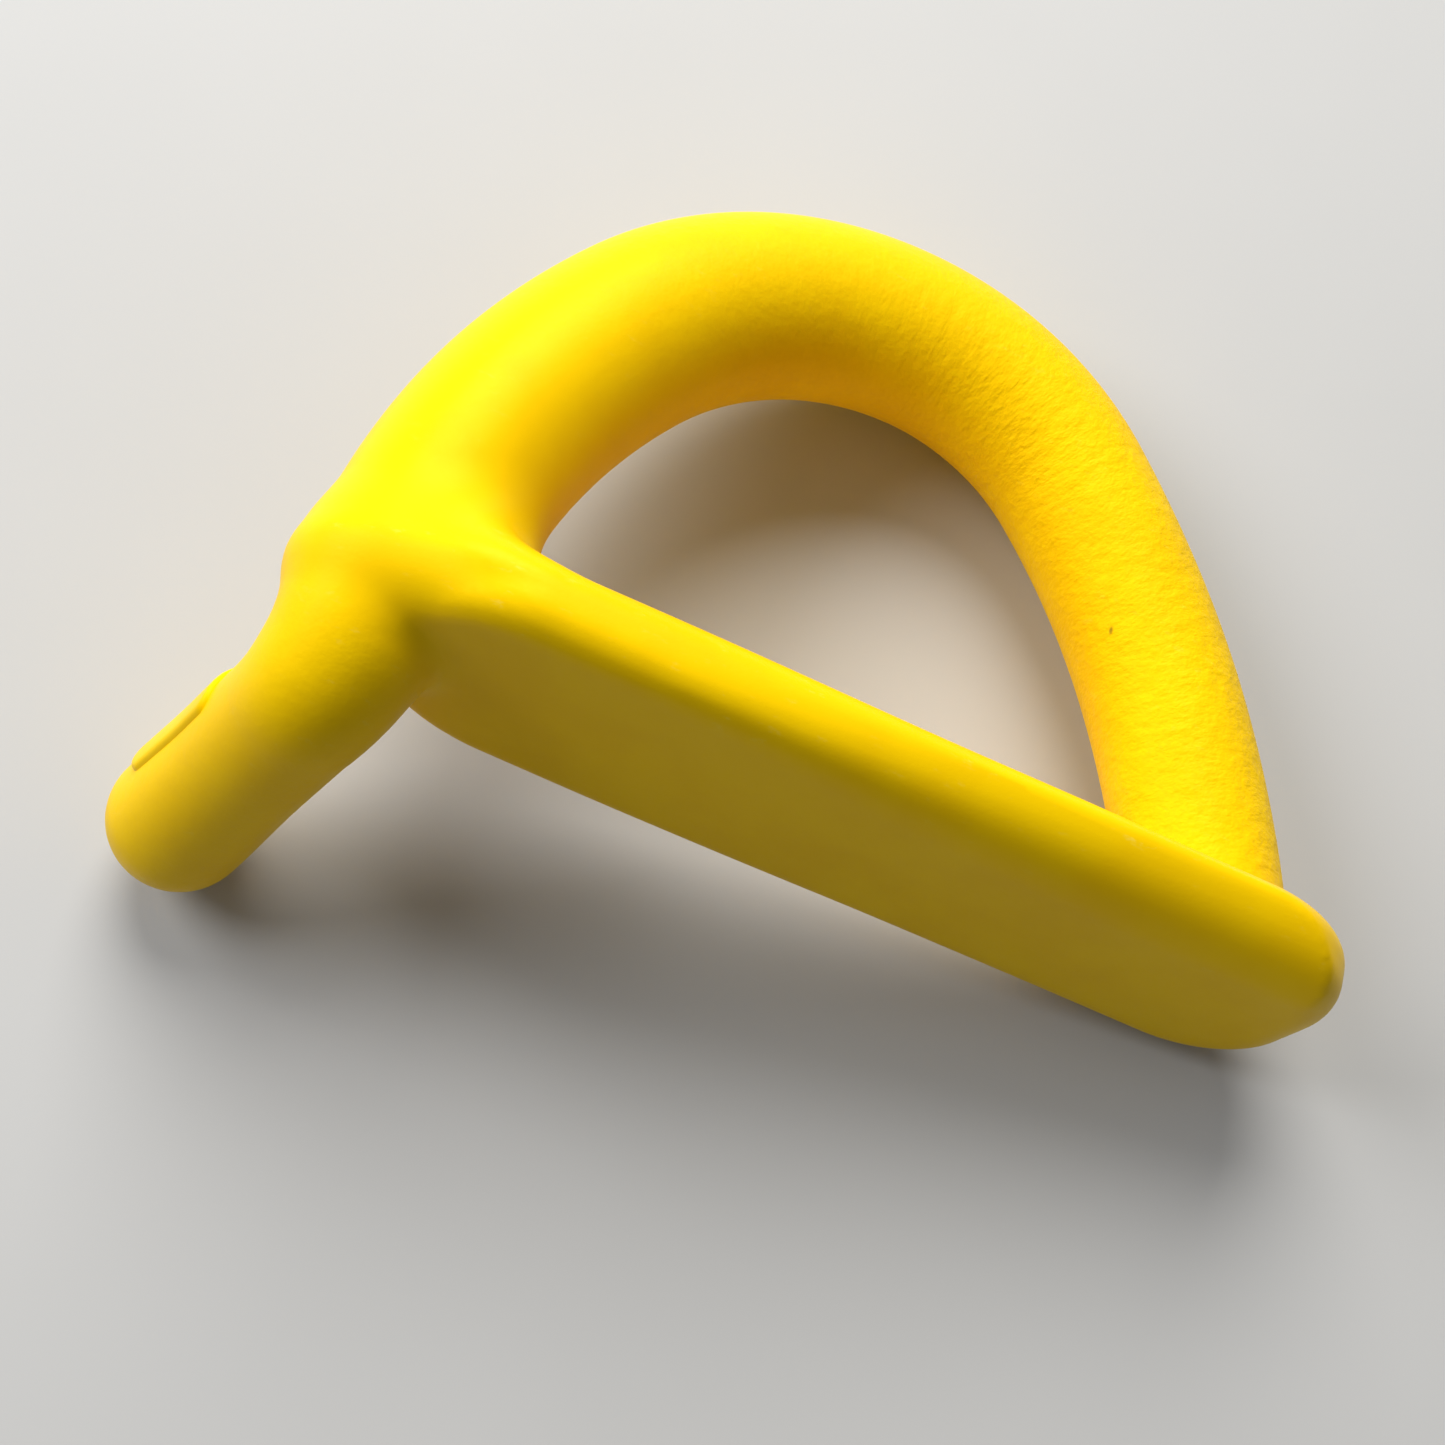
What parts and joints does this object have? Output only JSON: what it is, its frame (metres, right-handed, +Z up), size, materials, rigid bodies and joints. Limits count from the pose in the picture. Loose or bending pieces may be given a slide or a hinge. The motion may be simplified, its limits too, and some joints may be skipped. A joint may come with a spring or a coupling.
{
  "type": "d-shaped hand grip",
  "caption": "One-handed D-shaped grip: a round moulded hoop, a broad flat cross bar and a short curled leg with a round tip, over a welded steel insert.",
  "frame": {"origin": "on the bar's flat outer face, midway along the bar and across its width", "axes": "+X along the bar from the leg's end to the other end, tipped up by the resting pose; +Y from the bar towards the hoop's crown; +Z up from the surface the grip lies on"},
  "size_m": [0.1677, 0.1295, 0.0582],
  "materials": {
    "yellow_skin": "semi-gloss moulded skin with a fine leathery grain",
    "yellow_pad": "same moulded skin, slightly smoother",
    "insert_steel": "plain mill steel",
    "weld_metal": "heat-darkened weld bead"
  },
  "bodies": {
    "root": {"hoop_skin": "yellow_skin", "bar_skin": "yellow_skin", "leg_skin": "yellow_skin", "blank_pad": "yellow_pad", "frame_rod": "insert_steel", "bar_strip": "insert_steel", "weld_left": "weld_metal", "weld_right": "weld_metal"}
  },
  "joints": []
}
